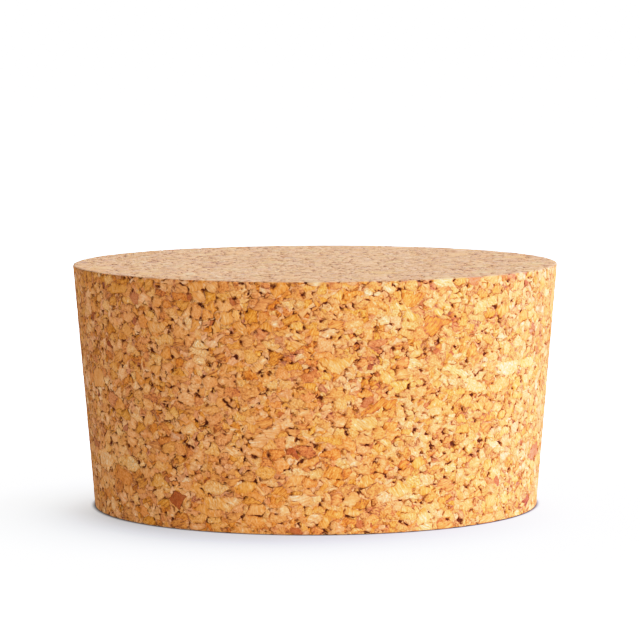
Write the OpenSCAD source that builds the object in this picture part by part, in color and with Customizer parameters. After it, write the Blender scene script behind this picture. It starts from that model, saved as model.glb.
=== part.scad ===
// Tapered stopper of agglomerated cork: one solid plug that wedges in a round mouth.
// It stands on its narrow end. The origin is the centre of that face, and +Z runs up
// the axis to the wide end. All sizes are in millimetres.

/* [Stopper] */
// Diameter of the wide end, measured to where its rim would be if it were sharp
wide_d = 76.2; // [40:0.05:160]
// Diameter of the narrow end, measured the same way
narrow_d = 69.85; // [36:0.05:156]
// Height from the narrow end to the wide end
stopper_h = 38.1; // [15:0.1:90]

/* [Rims] */
// Radius that sanding leaves round the wide end's rim
wide_rim_r = 0.2; // [0.1:0.05:3]
// Radius that sanding leaves round the narrow end's rim
narrow_rim_r = 0.2; // [0.1:0.05:3]

/* [Hidden] */
$fn = 180;
cork_tan = "#d8a369";
wide_r = wide_d / 2;
narrow_r = narrow_d / 2;
// Angle by which the side leans away from the axis
taper = atan((wide_r - narrow_r) / stopper_h);
// Depth by which the side starts inside each rounding, so that they cross and not just touch
seam = 0.0002;

// Radius of the tapered side at height z
function side_r(z) = narrow_r + z * tan(taper);

// Centre of a rim's rounding of radius r whose centre is at height z
function rim_centre(r, z) = [side_r(z) - r / cos(taper), z];

// Point where the side leaves a rounding of radius r about centre c
function leaves_round(c, r) = c + (r - seam) * [cos(taper), -sin(taper)];

// Right half of the section: straight faces, with each rim's round laid over its corner
module half_section() {
    low = rim_centre(narrow_rim_r, narrow_rim_r);
    high = rim_centre(wide_rim_r, stopper_h - wide_rim_r);
    polygon([
        [0, 0],
        [low.x, 0],
        leaves_round(low, narrow_rim_r),
        leaves_round(high, wide_rim_r),
        [high.x, stopper_h],
        [0, stopper_h]
    ]);
    translate(low) circle(r = narrow_rim_r);
    translate(high) circle(r = wide_rim_r);
}

// The whole plug: granules pressed and bonded into one block, then turned and sanded
module cork_stopper() {
    color(cork_tan) rotate_extrude() half_section();
}

cork_stopper();
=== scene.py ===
"""The looks of a large tapered stopper of agglomerated cork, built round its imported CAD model.

The plug is a bonded mass of cork granules, turned to a taper and sanded. Geometry Nodes lay out a
fine skin over the CAD model's own section and cut it back wherever a granule sits low or has
crumbled away. A matt cork material then colours each granule, from the same pattern, at the place
where the tool cut it. Lengths inside the pattern are in millimetres, all others are in metres.
"""

import math

import bpy
import numpy as np
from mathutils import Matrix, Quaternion, Vector


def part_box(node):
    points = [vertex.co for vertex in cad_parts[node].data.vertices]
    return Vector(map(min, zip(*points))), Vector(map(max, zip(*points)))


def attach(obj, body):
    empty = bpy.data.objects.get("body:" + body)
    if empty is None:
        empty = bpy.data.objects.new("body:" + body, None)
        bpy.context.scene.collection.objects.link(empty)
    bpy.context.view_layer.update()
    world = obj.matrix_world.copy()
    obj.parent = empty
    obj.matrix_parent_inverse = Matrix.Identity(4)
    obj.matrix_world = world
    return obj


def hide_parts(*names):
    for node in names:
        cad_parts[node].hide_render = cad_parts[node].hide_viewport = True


MM = 0.001

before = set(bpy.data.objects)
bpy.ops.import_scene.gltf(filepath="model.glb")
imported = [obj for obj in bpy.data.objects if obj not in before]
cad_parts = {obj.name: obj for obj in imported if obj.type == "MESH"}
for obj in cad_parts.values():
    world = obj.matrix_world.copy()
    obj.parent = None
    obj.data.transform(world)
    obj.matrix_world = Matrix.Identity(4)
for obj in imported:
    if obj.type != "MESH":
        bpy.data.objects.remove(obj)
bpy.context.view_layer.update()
low_corner, high_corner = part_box("cork_stopper")
plug_height = high_corner.z - low_corner.z


# ---------------------------------------------------------------- section of the CAD model


def section_of(node):
    """Radius of each end at its sharp corner, and of the rounding at its rim, narrow end first."""
    outer = {}
    for vertex in node.data.vertices:
        height = round(vertex.co.z, 7)
        outer[height] = max(outer.get(height, 0.0), math.hypot(vertex.co.x, vertex.co.y))
    heights = sorted(outer)
    # The rims' rings lie close together, and the cone's far apart.
    spans = [(a, b) for a, b in zip(heights, heights[1:]) if b - a > 1 * MM]
    cone_low, cone_high = spans[0][0], spans[-1][1]
    lean = (outer[cone_high] - outer[cone_low]) / (cone_high - cone_low)
    sine = math.sin(math.atan(lean))
    narrow_radius = outer[cone_low] - lean * (cone_low - heights[0])
    wide_radius = outer[cone_high] + lean * (heights[-1] - cone_high)
    narrow_rim = (cone_low - heights[0]) / (1 - sine)
    wide_rim = (heights[-1] - cone_high) / (1 + sine)
    return narrow_radius, wide_radius, narrow_rim, wide_rim


narrow_radius, wide_radius, narrow_rim, wide_rim = section_of(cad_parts["cork_stopper"])


# ---------------------------------------------------------------- node trees


class Net:
    """A node tree being wired up: each call adds one node and returns its output socket."""

    def __init__(self, tree):
        self.tree = tree

    def feed(self, socket, value):
        """Links a socket to value, or sets it where value is a plain number or list."""
        if isinstance(value, bpy.types.NodeSocket):
            self.tree.links.new(value, socket)
        else:
            socket.default_value = value

    def node(self, kind, inputs=None, **settings):
        """Adds a node with these settings, feeds its named or numbered inputs, and returns it."""
        node = self.tree.nodes.new(kind)
        for name, setting in settings.items():
            setattr(node, name, setting)
        for name, value in (inputs or {}).items():
            self.feed(node.inputs[name], value)
        return node

    def math(self, operation, *values):
        return self.node("ShaderNodeMath", dict(enumerate(values)), operation=operation).outputs[0]

    def vector(self, operation, *values):
        """Vector maths on vectors. The result is a number for LENGTH and DOT_PRODUCT."""
        node = self.node("ShaderNodeVectorMath", dict(enumerate(values)), operation=operation)
        return node.outputs["Value" if operation in ("LENGTH", "DOT_PRODUCT") else "Vector"]

    def scaled(self, vector, factor):
        inputs = {0: vector, "Scale": factor}
        return self.node("ShaderNodeVectorMath", inputs, operation="SCALE").outputs[0]

    def parts(self, vector):
        """The three numbers of a vector."""
        return self.node("ShaderNodeSeparateXYZ", {0: vector}).outputs

    def joined(self, x, y, z):
        return self.node("ShaderNodeCombineXYZ", {0: x, 1: y, 2: z}).outputs[0]

    def ramp(self, value, start, end, low=0.0, high=1.0, smooth=True):
        """low up to start, high from end, and an eased or straight slope between them."""
        inputs = {0: value, 1: start, 2: end, 3: low, 4: high}
        kind = "SMOOTHSTEP" if smooth else "LINEAR"
        return self.node("ShaderNodeMapRange", inputs, interpolation_type=kind).outputs[0]

    def mix(self, factor, if_zero, if_one, kind="FLOAT", **settings):
        """Between if_zero and if_one, which are numbers, or vectors or colours where kind says so."""
        node = self.node("ShaderNodeMix", data_type=kind, **settings)
        live_inputs = [socket for socket in node.inputs if socket.enabled]
        for socket, value in zip(live_inputs, (factor, if_zero, if_one)):
            self.feed(socket, value)
        return next(socket for socket in node.outputs if socket.enabled)

    def noise(self, place, size, detail=2.0, roughness=0.5):
        """Smooth noise whose features are about size across: its number and its three numbers."""
        inputs = {"Vector": place, "Scale": 1 / size, "Detail": detail, "Roughness": roughness}
        return self.node("ShaderNodeTexNoise", inputs).outputs

    def cells(self, place, feature):
        """Cells round points scattered one to each unit cube."""
        inputs = {"Vector": place, "Scale": 1.0, "Randomness": 1.0}
        return self.node("ShaderNodeTexVoronoi", inputs, feature=feature).outputs


# ---------------------------------------------------------------- the granules

# Middle of the range of each random number from 0 to 1
HALF = (0.5, 0.5, 0.5)

# Each lattice: spacing of its granules, how much flatter than wide they are, share of them that is
# kept whole, gap of fines left round each of those, and the shift that makes it fall its own way
CHIPS = dict(size=4.4, flat=0.55, share=0.13, inset=0.30, shift=(3.1, 7.7, 1.3))
GRANULES = dict(size=2.1, flat=0.70, share=0.62, inset=0.06, shift=(11.9, 2.3, 5.9))
CRUMBS = dict(size=1.05, flat=0.8, share=1.0, inset=0.0, shift=(17.3, 9.1, 23.7))

# Waves that push the borders about: their size, and the widest push
BROAD_WAVES = dict(size=1.8, detail=1.0, push=1.3)
FINE_WAVES = dict(size=0.5, detail=2.0, push=0.5)

# Size of the stretches in which borders are looser or tighter, and a shift of their own
LOOSE_SIZE = 0.9
LOOSE_SHIFT = (31.0, 4.0, 12.0)
# Width of the widest gap between granules, and of its crumbling edge
WIDEST_GAP = 0.32
GAP_EDGE = 0.09
# Distances in from each end between which the side's finish turns into the end's
END_FADE = (0.12, 0.02)


def bent(net, place):
    """Place pushed about a little, so that borders run crooked and ragged rather than straight."""
    pushes = []
    for waves in (BROAD_WAVES, FINE_WAVES):
        wave = net.noise(place, waves["size"], detail=waves["detail"])["Color"]
        pushes.append(net.scaled(net.vector("SUBTRACT", wave, HALF), waves["push"]))
    return net.vector("ADD", place, net.vector("ADD", *pushes))


def lattice(net, place, spec):
    """One lattice of granules: random numbers, way and distance from the middle, and depth inside
    the border, which is below 0 outside it."""
    size, flat = spec["size"], spec["flat"]
    stretch = (1 / size, 1 / size, 1 / (size * flat))
    local = net.vector("ADD", net.vector("MULTIPLY", place, stretch), spec["shift"])
    nearest = net.cells(local, "F1")
    border = net.cells(local, "DISTANCE_TO_EDGE")["Distance"]
    depth = net.math("MULTIPLY_ADD", border, size * 0.5 * (1 + flat), -spec["inset"])
    off = net.scaled(net.vector("SUBTRACT", local, nearest["Position"]), size)
    return dict(random=nearest["Color"], off=off, reach=nearest["Distance"], depth=depth)


def pattern(net, place):
    """The granule at each place of the mass: its random numbers, the way and the reach from its
    middle, the depth inside its border, how open that border is, and the gap beside it."""
    crooked = bent(net, place)
    grain = lattice(net, crooked, CRUMBS)
    for spec in (GRANULES, CHIPS):
        over = lattice(net, crooked, spec)
        draw = net.parts(over["random"])[2]
        kept = net.math("LESS_THAN", draw, spec["share"])
        inside = net.math("MULTIPLY", kept, net.math("GREATER_THAN", over["depth"], 0.0))
        # A granule that is kept whole bounds what lies round it as well as itself. Where none is
        # kept, its border is put too far off to count.
        bound = net.mix(kept, 9.0, net.math("ABSOLUTE", over["depth"]))
        outside = net.math("MINIMUM", bound, grain["depth"])
        grain = dict(
            random=net.mix(inside, grain["random"], over["random"], kind="VECTOR"),
            off=net.mix(inside, grain["off"], over["off"], kind="VECTOR"),
            reach=net.mix(inside, grain["reach"], over["reach"]),
            depth=net.mix(inside, outside, over["depth"]),
        )
    # Borders are open in one stretch and shut tight in the next, and gaps are where they are
    # loosest, mostly where granules meet corner to corner.
    loose = net.noise(net.vector("ADD", place, LOOSE_SHIFT), LOOSE_SIZE, detail=1.0)["Fac"]
    grain["open"] = net.ramp(loose, 0.45, 0.64)
    corner = net.ramp(grain["reach"], 0.4, 0.8, 0.35, 1.0)
    width = net.math("MULTIPLY", net.ramp(loose, 0.58, 0.76, 0.0, WIDEST_GAP), corner)
    grain["gap"] = net.ramp(net.math("SUBTRACT", width, grain["depth"]), 0.0, GAP_EDGE)
    return grain


def tilt_of(net, grain):
    """Height of each granule's own face over its middle, as each lies tilted its own way."""
    way = net.vector("SUBTRACT", grain["random"], HALF)
    return net.vector("DOT_PRODUCT", grain["off"], way)


def end_share(net, place):
    """1 on the two ends, which are sanded on a flat plate and so come out finer, and 0 on the side."""
    half_height = plug_height / MM / 2
    height = net.parts(place)[2]
    off_middle = net.math("ABSOLUTE", net.math("SUBTRACT", height, half_height))
    return net.ramp(off_middle, half_height - END_FADE[0], half_height - END_FADE[1])


# ---------------------------------------------------------------- the plug's skin

# Distance between the skin's points before it is thinned
SKIN_STEP = 0.2 * MM
# Most triangles that the thinned skin keeps
SKIN_TRIANGLES = 196_000

# How far, in mm, the skin lies under the turned surface: where a granule sits low or tilted, in
# the groove along an open border, where the cork is crumbly, and in a gap
LOWEST_GRANULE = 0.05
TILT_SHARE = 0.05
GROOVE_DEPTH = 0.10
GROOVE_WIDTH = 0.18
CRUMBLE_DEPTH = 0.03
PIT_DEPTH = 0.35
# Share of all this on the ends
END_RELIEF = 0.5


def round_section(net, place, sizes):
    """Wraps a cube from -1 to 1 round the plug's section: squares become circles, then the side
    takes its taper and both rims their rounding."""
    x, y, z = net.parts(place)
    ax, ay = net.math("ABSOLUTE", x), net.math("ABSOLUTE", y)
    ring = net.math("MAXIMUM", ax, ay)
    x_leads = net.math("GREATER_THAN", ax, ay)
    lead = net.math("MAXIMUM", net.mix(x_leads, ay, ax), 1e-9)
    sign = net.mix(x_leads, net.math("SIGN", y), net.math("SIGN", x))
    lesser = net.mix(x_leads, x, y)
    turn = net.math("MULTIPLY", net.math("DIVIDE", lesser, lead), math.pi / 4)
    along, across = net.math("COSINE", turn), net.math("SINE", turn)
    along = net.math("MULTIPLY", along, sign)
    ray_x = net.mix(x_leads, across, along)
    ray_y = net.mix(x_leads, along, across)
    # Height and radius before the rims are rounded
    tall = net.math("MULTIPLY", net.math("MULTIPLY_ADD", z, 0.5, 0.5), sizes["Height"])

    def side(height):
        share = net.math("DIVIDE", height, sizes["Height"])
        return net.mix(share, sizes["Narrow radius"], sizes["Wide radius"])

    out = net.math("MULTIPLY", side(tall), ring)
    # The core is the section less the rims' radius, and each point goes back out from it.
    upper = net.math("GREATER_THAN", z, 0.0)
    rim = net.mix(upper, sizes["Narrow rim"], sizes["Wide rim"])
    top = net.math("SUBTRACT", sizes["Height"], sizes["Wide rim"])
    core_z = net.math("MINIMUM", net.math("MAXIMUM", tall, sizes["Narrow rim"]), top)
    core_r = net.math("MINIMUM", out, net.math("SUBTRACT", side(core_z), rim))
    away = net.joined(net.math("SUBTRACT", out, core_r), 0.0, net.math("SUBTRACT", tall, core_z))
    away = net.parts(net.scaled(net.vector("NORMALIZE", away), rim))
    final_r = net.math("ADD", core_r, away[0])
    final_z = net.math("ADD", core_z, away[2])
    final_x = net.math("MULTIPLY", ray_x, final_r)
    final_y = net.math("MULTIPLY", ray_y, final_r)
    return net.joined(final_x, final_y, final_z)


def sanding_relief(net, place, sizes):
    """How far, in millimetres, the skin lies under the turned surface at each place of the mass."""
    grain = pattern(net, place)
    low = net.math("MULTIPLY", net.parts(grain["random"])[0], LOWEST_GRANULE)
    tilt = net.math("ABSOLUTE", tilt_of(net, grain))
    slope = net.ramp(grain["depth"], 0.0, GROOVE_WIDTH, GROOVE_DEPTH, 0.0)
    groove = net.math("MULTIPLY", slope, grain["open"])
    crumble = net.math("MULTIPLY", net.noise(place, 0.5, detail=2.0)["Fac"], CRUMBLE_DEPTH)
    tilted = net.math("MULTIPLY_ADD", tilt, TILT_SHARE, low)
    skin = net.math("ADD", tilted, net.math("ADD", groove, crumble))
    pit = net.math("MULTIPLY", grain["gap"], sizes["Pit depth"])
    rough = net.math("MULTIPLY", net.math("MAXIMUM", skin, pit), sizes["Relief"])
    return net.math("MULTIPLY", rough, net.ramp(end_share(net, place), 0.0, 1.0, 1.0, END_RELIEF))


def skin_tree(material):
    """Geometry Nodes that make the plug's sanded skin from its section."""
    tree = bpy.data.node_groups.new("cork_skin", "GeometryNodeTree")
    tree.is_modifier = True
    face = tree.interface
    face.new_socket("Geometry", in_out="OUTPUT", socket_type="NodeSocketGeometry")
    lengths = ["Narrow radius", "Wide radius", "Height", "Narrow rim", "Wide rim"]
    for name in lengths + ["Relief", "Pit depth"]:
        face.new_socket(name, in_out="INPUT", socket_type="NodeSocketFloat")
    for name in ("Points across", "Points up"):
        face.new_socket(name, in_out="INPUT", socket_type="NodeSocketInt")
    net = Net(tree)
    sizes = net.node("NodeGroupInput").outputs
    across, up = sizes["Points across"], sizes["Points up"]
    inputs = {"Size": (2.0, 2.0, 2.0), "Vertices X": across, "Vertices Y": across, "Vertices Z": up}
    cube = net.node("GeometryNodeMeshCube", inputs).outputs["Mesh"]
    spot = net.node("GeometryNodeInputPosition").outputs[0]
    section = round_section(net, spot, sizes)
    turned = net.node("GeometryNodeSetPosition", {"Geometry": cube, "Position": section}).outputs[0]
    cut_place = net.scaled(spot, 1 / MM)
    noted = net.node(
        "GeometryNodeStoreNamedAttribute",
        {"Geometry": turned, "Name": "cut_place", "Value": cut_place},
        data_type="FLOAT_VECTOR",
        domain="POINT",
    ).outputs[0]
    normal = net.node("GeometryNodeInputNormal").outputs[0]
    lift = net.math("MULTIPLY", sanding_relief(net, cut_place, sizes), -MM)
    push = net.scaled(normal, lift)
    relief = net.node("GeometryNodeSetPosition", {"Geometry": noted, "Offset": push}).outputs[0]
    smooth = net.node("GeometryNodeSetShadeSmooth", {0: relief}).outputs[0]
    real = net.node("GeometryNodeRealizeInstances", {0: smooth}).outputs[0]
    coated = net.node("GeometryNodeSetMaterial", {0: real, "Material": material}).outputs[0]
    net.node("NodeGroupOutput", {0: coated})
    return tree


# Side of the square sheet that the skin is laid out on, and the room between its parts, in mm
SHEET = 157.0
ROOM = 1.0


def laid_flat(triangles):
    """Place on the sheet, from 0 to 1, of each corner of each triangle, given in mm on the turned
    surface: four rows of a quarter turn of the side each, and the two ends beside them."""
    x, y, z = (triangles[..., axis] for axis in range(3))
    middle = triangles.mean(axis=1)
    wide, narrow, tall = wide_radius / MM, narrow_radius / MM, plug_height / MM
    # The ends run on over that half of each rim that faces more along the axis than outwards.
    half_rim = 1 - math.sqrt(0.5)
    under = middle[:, 2] < narrow_rim / MM * half_rim
    over = middle[:, 2] > tall - wide_rim / MM * half_rim
    quarter = np.round(np.arctan2(middle[:, 1], middle[:, 0]) / (math.pi / 2))
    turn = np.arctan2(y, x) - quarter[:, None] * math.pi / 2
    turn = (turn + math.pi) % (2 * math.pi) - math.pi
    row = (quarter % 4)[:, None]
    half_row = math.pi / 4 * wide
    u = ROOM + half_row + turn * (wide + narrow) / 2
    v = ROOM * 0.8 + row * (tall + ROOM) + z
    beside = 3 * ROOM + 2 * half_row + wide
    u = np.where(under[:, None] | over[:, None], beside + x, u)
    v = np.where(under[:, None], SHEET / 4 - y, v)
    v = np.where(over[:, None], SHEET * 3 / 4 + y, v)
    return np.stack((u, v), axis=-1) / SHEET


def tidy_skin(mesh):
    """Keeps the thinned skin between the two ends, and lays a flat copy of it out as a UV map."""
    count = len(mesh.vertices)
    points = np.empty(count * 3)
    mesh.vertices.foreach_get("co", points)
    points = points.reshape(count, 3)
    points[:, 2] = np.clip(points[:, 2], 0.0, plug_height)
    mesh.vertices.foreach_set("co", points.ravel())
    cut = np.empty(count * 3)
    mesh.attributes["cut_place"].data.foreach_get("vector", cut)
    corners = np.empty(len(mesh.loops), dtype=np.int32)
    mesh.loops.foreach_get("vertex_index", corners)
    spread = laid_flat(cut.reshape(count, 3)[corners].reshape(-1, 3, 3))
    layer = mesh.uv_layers.new(name="OFBake")
    layer.uv.foreach_set("vector", spread.ravel())


def cork_plug(material):
    """The plug as one mesh: the skin at full fineness, thinned where it is flat."""
    maker = bpy.data.objects.new("plug_maker", bpy.data.meshes.new("plug_maker"))
    bpy.context.scene.collection.objects.link(maker)
    skin = maker.modifiers.new("skin", "NODES")
    skin.node_group = skin_tree(material)
    across = round(math.pi / 2 * wide_radius / SKIN_STEP)
    up = round(plug_height / SKIN_STEP)
    values = {
        "Narrow radius": narrow_radius,
        "Wide radius": wide_radius,
        "Height": plug_height,
        "Narrow rim": narrow_rim,
        "Wide rim": wide_rim,
        "Relief": 1.0,
        "Pit depth": PIT_DEPTH,
        "Points across": across,
        "Points up": up,
    }
    for item in skin.node_group.interface.items_tree:
        if item.in_out == "INPUT":
            skin[item.identifier] = values[item.name]
    full_triangles = 4 * (across * across + 2 * across * up)
    thin = maker.modifiers.new("thin", "DECIMATE")
    thin.ratio = SKIN_TRIANGLES / full_triangles
    thin.use_collapse_triangulate = True
    ready = maker.evaluated_get(bpy.context.evaluated_depsgraph_get())
    mesh = bpy.data.meshes.new_from_object(ready)
    bpy.data.objects.remove(maker)
    mesh.name = "granulated_plug"
    tidy_skin(mesh)
    plug = bpy.data.objects.new("granulated_plug", mesh)
    bpy.context.scene.collection.objects.link(plug)
    return plug


# ---------------------------------------------------------------- cork material


def srgb(red, green, blue):
    """A colour given as its three 8-bit display numbers, for a node."""

    def linear(value):
        share = value / 255
        return share / 12.92 if share <= 0.04045 else ((share + 0.055) / 1.055) ** 2.4

    return (linear(red), linear(green), linear(blue), 1.0)


# Tone of the cork, from darkest to palest, and its colour
CORK_TONES = [
    (0.00, srgb(132, 64, 10)),
    (0.14, srgb(186, 101, 26)),
    (0.32, srgb(218, 136, 48)),
    (0.50, srgb(233, 155, 69)),
    (0.68, srgb(242, 172, 95)),
    (0.86, srgb(248, 191, 125)),
    (1.00, srgb(252, 214, 164)),
]
# What bark takes off the tone of the few granules that hold it
BARK_TINT = srgb(198, 156, 126)
SPECK_BROWN = srgb(126, 60, 6)
# Painted shade that a granule takes on towards its open borders
BORDER_SHADE_BROWN = srgb(178, 100, 26)
# Painted shade in the thin creases along the borders
CREASE_SHADE_BROWN = srgb(120, 58, 0)
# Painted shade down in the gaps, on top of the real shade of their pits
GAP_SHADE_BROWN = srgb(94, 30, 0)
# Pale sanding dust on the ends, partly a painted sheen
SANDING_DUST_AND_SHEEN = srgb(237, 225, 182)

# Random number below which a granule starts to hold bark
BARK_SHARE = 0.045
# Share of the surface's colour that the dust, which is partly a painted sheen, hides on the ends
DUST_AND_SHEEN_SHARE = 0.28


def colour_ramp(net, value, stops):
    """Colour at value along the stops, each of which is a place from 0 to 1 and a colour."""
    node = net.node("ShaderNodeValToRGB", {0: value})
    ramp = node.color_ramp
    while len(ramp.elements) < len(stops):
        ramp.elements.new(0.5)
    for element, (at, colour) in zip(ramp.elements, stops):
        element.position = at
        element.color = colour
    return node.outputs["Color"]


def growth_lines(net, place, random):
    """Growth lines in the cork, which run their own way in each granule."""
    way = net.vector("NORMALIZE", net.vector("SUBTRACT", random, HALF))
    along = net.vector("DOT_PRODUCT", place, way)
    squeezed = net.vector("SUBTRACT", place, net.scaled(way, net.math("MULTIPLY", along, 0.9)))
    return net.noise(squeezed, 0.24, detail=2.0, roughness=0.7)["Fac"]


def weighted(net, *terms):
    """0.5 plus the sum of each term's distance from 0.5 times its weight."""
    total = 0.5
    for value, weight in terms:
        total = net.math("ADD", total, net.math("MULTIPLY_ADD", value, weight, -0.5 * weight))
    return total


def granule_colour(net, place, grain, lines, mottle):
    """Colour inside each granule: its own tone and hue, painted shade towards its border, its growth
    lines, its bark and its pores.
    """
    red, green, blue = net.parts(grain["random"])
    broad = net.noise(place, 5.0, detail=1.0)["Fac"]
    # Painted shade: each granule is paler towards its middle and darker towards its border, as a
    # rounded lump is lit.
    painted_dome_shade = net.ramp(grain["depth"], 0.0, 0.45)
    tone = weighted(net, (red, 0.50), (lines, 1.25), (mottle, 0.5), (broad, 0.4), (painted_dome_shade, 0.14))
    tinted = net.node("ShaderNodeHueSaturation", {
        "Hue": net.ramp(green, 0.0, 1.0, 0.491, 0.5035, smooth=False),
        "Saturation": net.ramp(blue, 0.0, 1.0, 1.04, 0.92, smooth=False),
        "Value": 1.0,
        "Color": colour_ramp(net, tone, CORK_TONES),
    }).outputs[0]
    bark = net.ramp(green, 0.0, BARK_SHARE, 1.0, 0.0)
    barked = net.mix(bark, tinted, BARK_TINT, kind="RGBA", blend_type="MULTIPLY")
    # Pores and old veins show as short dark specks, in some granules more than in others.
    pores = net.ramp(net.noise(place, 0.17, detail=1.0)["Fac"], 0.58, 0.70)
    speck = net.math("MULTIPLY", pores, net.ramp(green, 0.4, 1.0, 0.0, 0.6))
    return net.mix(speck, barked, SPECK_BROWN, kind="RGBA")


def crease_shade_depth(net, grain):
    """Depth of the painted shade in the thin crease along each border, wider and darker where it is
    open.
    """
    width = net.math("MULTIPLY_ADD", grain["open"], 0.08, 0.03)
    crease = net.ramp(grain["depth"], 0.0, width, 1.0, 0.0)
    strength = net.math("MULTIPLY_ADD", grain["open"], 0.85, 0.02)
    return net.math("MULTIPLY", crease, strength)


def mass_colour(net, inside, grain, crease_shade, flush, end):
    """Colour of the mass: its granules, painted shade along the borders between them and in the gaps,
    and the dust on the ends, which is partly a painted sheen.
    """
    # Painted shade: a granule darkens a little towards its open borders, where shade falls beside the
    # crease.
    painted_border_shade = net.math("MULTIPLY", net.ramp(grain["depth"], 0.0, 0.30, 0.20, 0.0), grain["open"])
    colour = net.mix(painted_border_shade, inside, BORDER_SHADE_BROWN, kind="RGBA")
    # Painted shade darkens the creases.
    colour = net.mix(crease_shade, colour, CREASE_SHADE_BROWN, kind="RGBA")
    # Painted shade darkens the gaps, on top of the real shade of their pits.
    colour = net.mix(grain["gap"], colour, GAP_SHADE_BROWN, kind="RGBA")
    # Fine sanding leaves its own pale dust on the ends, and none down in their creases and gaps. The
    # pale dust also stands in for the sheen the ends show at a glancing view, so it is partly a
    # painted sheen.
    dust_and_sheen = net.math("MULTIPLY", net.math("MULTIPLY", end, flush), DUST_AND_SHEEN_SHARE)
    return net.mix(dust_and_sheen, colour, SANDING_DUST_AND_SHEEN, kind="RGBA")


def fine_height(net, grain, lines, mottle, end):
    """Height, in metres, of what is finer than the skin: rounded borders, grit and tilted faces.
    Grit and tilt are 0 on average, so that there is no step where the ends begin."""
    dome = net.math("MULTIPLY", net.ramp(grain["depth"], 0.0, 0.22, -0.085, 0.0), grain["open"])
    grit = net.math("MULTIPLY", net.math("SUBTRACT", net.math("ADD", lines, mottle), 1.0), 0.10)
    tilt = net.math("MULTIPLY", tilt_of(net, grain), 0.22)
    height = net.math("ADD", net.math("ADD", dome, grit), tilt)
    return net.math("MULTIPLY", height, net.ramp(end, 0.0, 1.0, MM, 1.2 * MM))


def cork_material():
    material = bpy.data.materials.new("sanded_cork")
    material.use_nodes = True
    tree = material.node_tree
    tree.nodes.clear()
    net = Net(tree)
    place = net.node("ShaderNodeAttribute", attribute_name="cut_place").outputs["Vector"]
    grain = pattern(net, place)
    lines = growth_lines(net, place, grain["random"])
    mottle = net.noise(place, 0.50, detail=3.0, roughness=0.65)["Fac"]
    end = end_share(net, place)
    crease_shade = crease_shade_depth(net, grain)
    # 1 where the tool met sound cork, and less down in the creases and gaps
    flush = net.math("SUBTRACT", 1.0, net.math("MAXIMUM", crease_shade, grain["gap"]))
    inside = granule_colour(net, place, grain, lines, mottle)
    height = fine_height(net, grain, lines, mottle, end)
    bump = net.node("ShaderNodeBump", {"Height": height, "Distance": 1.0, "Strength": 1.0}).outputs[0]
    # Creases and gaps are broken cork, too rough to gleam.
    sanded = net.ramp(mottle, 0.3, 0.7, 0.46, 0.64)
    shader = net.node("ShaderNodeBsdfPrincipled", {
        "Base Color": mass_colour(net, inside, grain, crease_shade, flush, end),
        "Roughness": net.mix(net.ramp(flush, 0.4, 1.0), 1.0, sanded),
        "IOR": 1.45,
        "Specular IOR Level": 0.35,
        "Normal": bump,
    })
    net.node("ShaderNodeOutputMaterial", {"Surface": shader.outputs[0]})
    return material


# ---------------------------------------------------------------- floor, light and camera

# Half the width of the square floor
FLOOR_HALF = 3.0
FLOOR_WHITE = (0.48, 0.54, 0.60, 1)
# Painted shadow: colour of the thin dark line round the plug's foot
FOOT_SHADOW_DARK = (0.05, 0.05, 0.05, 1)
# Middle of the soft shadow, partly cast by the lights and partly painted into the floor's glow, a
# little towards the viewer and away from the window
SHADOW_MIDDLE = (-3 * MM, -12.5 * MM, 0)
# How bright the floor's glow is for the light it sheds on the plug
FLOOR_LIGHT = 0.6


def paper_material():
    """White paper with a glow of its own, less beside the plug: a painted shadow round its foot, on
    top of the real one, while the rest melts into the white room."""
    material = bpy.data.materials.new("white_paper")
    material.use_nodes = True
    tree = material.node_tree
    tree.nodes.clear()
    net = Net(tree)
    place = net.node("ShaderNodeTexCoord").outputs["Object"]
    away = net.vector("LENGTH", net.vector("SUBTRACT", place, SHADOW_MIDDLE))
    # Painted shadow: the paper's glow is dimmer near the shadow's middle and brighter away from it.
    painted_shadow_glow = net.ramp(away, 25 * MM, 45 * MM, 0.29, 0.85)
    seen = net.math("ADD", painted_shadow_glow, net.ramp(away, 36 * MM, 80 * MM, 0.0, 1.2))
    # Painted shadow: a thin dark line runs round the foot, where the plug touches down.
    off_axis = net.vector("LENGTH", place)
    beyond_foot_shadow = net.ramp(off_axis, narrow_radius - 0.3 * MM, narrow_radius + 0.8 * MM)
    seen = net.math("MULTIPLY", seen, beyond_foot_shadow)
    to_camera = net.node("ShaderNodeLightPath").outputs["Is Camera Ray"]
    paper = net.node("ShaderNodeBsdfPrincipled", {
        "Base Color": net.mix(beyond_foot_shadow, FOOT_SHADOW_DARK, FLOOR_WHITE, kind="RGBA"),
        "Roughness": 1.0,
        "Specular IOR Level": 0.0,
        "Emission Color": (1, 1, 1, 1),
        "Emission Strength": net.mix(to_camera, FLOOR_LIGHT, seen),
    }).outputs[0]
    # From below the floor can be seen through, so that the underside shows.
    from_below = net.node("ShaderNodeNewGeometry").outputs["Backfacing"]
    clear = net.node("ShaderNodeBsdfTransparent").outputs[0]
    surface = net.node("ShaderNodeMixShader", {0: from_below, 1: paper, 2: clear}).outputs[0]
    net.node("ShaderNodeOutputMaterial", {"Surface": surface})
    return material


def pale_floor():
    half = FLOOR_HALF
    corners = [(-half, -half, 0), (half, -half, 0), (half, half, 0), (-half, half, 0)]
    mesh = bpy.data.meshes.new("pale_floor")
    mesh.from_pydata(corners, [], [(0, 1, 2, 3)])
    mesh.materials.append(paper_material())
    floor = bpy.data.objects.new("pale_floor", mesh)
    bpy.context.scene.collection.objects.link(floor)
    # The floor lights the cork and shows no gleam in it.
    floor.visible_glossy = False


# Distance of every soft light from the middle of the plug
LIGHT_DISTANCE = 1.2


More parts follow.
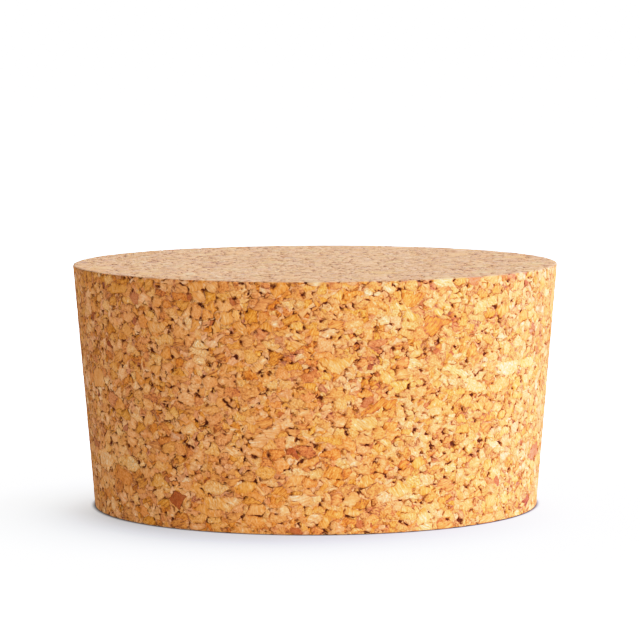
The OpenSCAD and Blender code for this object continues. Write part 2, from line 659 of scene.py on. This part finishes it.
def soft_light(name, azimuth, elevation, size, power, tint):
    """A square soft box that faces the plug. Azimuth 0 is the viewer's side, 90 is +X."""
    turn, lift = math.radians(azimuth), math.radians(elevation)
    way = Vector((math.sin(turn) * math.cos(lift), -math.cos(turn) * math.cos(lift), math.sin(lift)))
    data = bpy.data.lights.new(name, "AREA")
    data.size = size
    data.energy = power
    data.color = tint
    lamp = bpy.data.objects.new(name, data)
    lamp.location = Vector((0, 0, plug_height / 2)) + way * LIGHT_DISTANCE
    lamp.rotation_euler = way.to_track_quat("Z", "Y").to_euler()
    bpy.context.scene.collection.objects.link(lamp)


def white_room(light, seen):
    """A white world: light is how bright it shines on things, seen how bright it looks."""
    world = bpy.data.worlds.new("white_room")
    bpy.context.scene.world = world
    world.use_nodes = True
    # Only the soft lights gleam on the cork.
    world.cycles_visibility.glossy = False
    world.node_tree.nodes.clear()
    net = Net(world.node_tree)
    to_camera = net.node("ShaderNodeLightPath").outputs["Is Camera Ray"]
    strength = net.mix(to_camera, light, seen)
    shine = net.node("ShaderNodeBackground", {"Color": (1, 1, 1, 1), "Strength": strength}).outputs[0]
    net.node("ShaderNodeOutputWorld", {"Surface": shine})


def camera(lens, aim, eye, roll):
    """The viewer: focal length in mm, the points looked at and from, and a turn in degrees."""
    data = bpy.data.cameras.new("camera")
    data.lens = lens
    data.sensor_width = 36.0
    data.clip_end = 20.0
    viewer = bpy.data.objects.new("camera", data)
    viewer.location = eye
    level = (eye - aim).to_track_quat("Z", "Y")
    viewer.rotation_euler = (level @ Quaternion((0, 0, 1), math.radians(roll))).to_euler()
    bpy.context.scene.collection.objects.link(viewer)
    bpy.context.scene.camera = viewer


# Light of this strength comes out as full white
FULL_WHITE = 2.0
# How bright some strengths of light come out, from 0 to 1
SHOWN_AS = {0.3: 0.3, 0.6: 0.6, 0.8: 0.76, 1.0: 0.87, 1.4: 0.965}


def soft_highlights():
    """Plain colours, with the brightest ones eased towards white as on film, not cut off."""
    view = bpy.context.scene.view_settings
    view.view_transform = "Standard"
    view.use_curve_mapping = True
    mapping = view.curve_mapping
    mapping.white_level = (FULL_WHITE, FULL_WHITE, FULL_WHITE)
    # The fourth curve is the one that bends all three colours alike.
    curve = mapping.curves[3]
    for light, shown in SHOWN_AS.items():
        curve.points.new(light / FULL_WHITE, shown)
    mapping.update()


# ---------------------------------------------------------------- putting it together

eye_left = 0.75 * MM
camera(
    lens=205.0,
    aim=Vector((eye_left, 0, 28.96 * MM)),
    eye=Vector((eye_left, -572.2 * MM, 81.7 * MM)),
    roll=-0.2,
)
white_room(light=0.50, seen=2.2)
soft_light("window_right", azimuth=60, elevation=14, size=1.1, power=23.5, tint=(1.0, 1.0, 1.16))
soft_light("rear_right", azimuth=116, elevation=20, size=1.0, power=15.0, tint=(1.0, 1.0, 1.6))
soft_light("rear_top", azimuth=180, elevation=20, size=0.8, power=3.0, tint=(0.9, 1.0, 1.0))
pale_floor()

plug = cork_plug(cork_material())
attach(plug, "root")
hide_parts("cork_stopper")

soft_highlights()
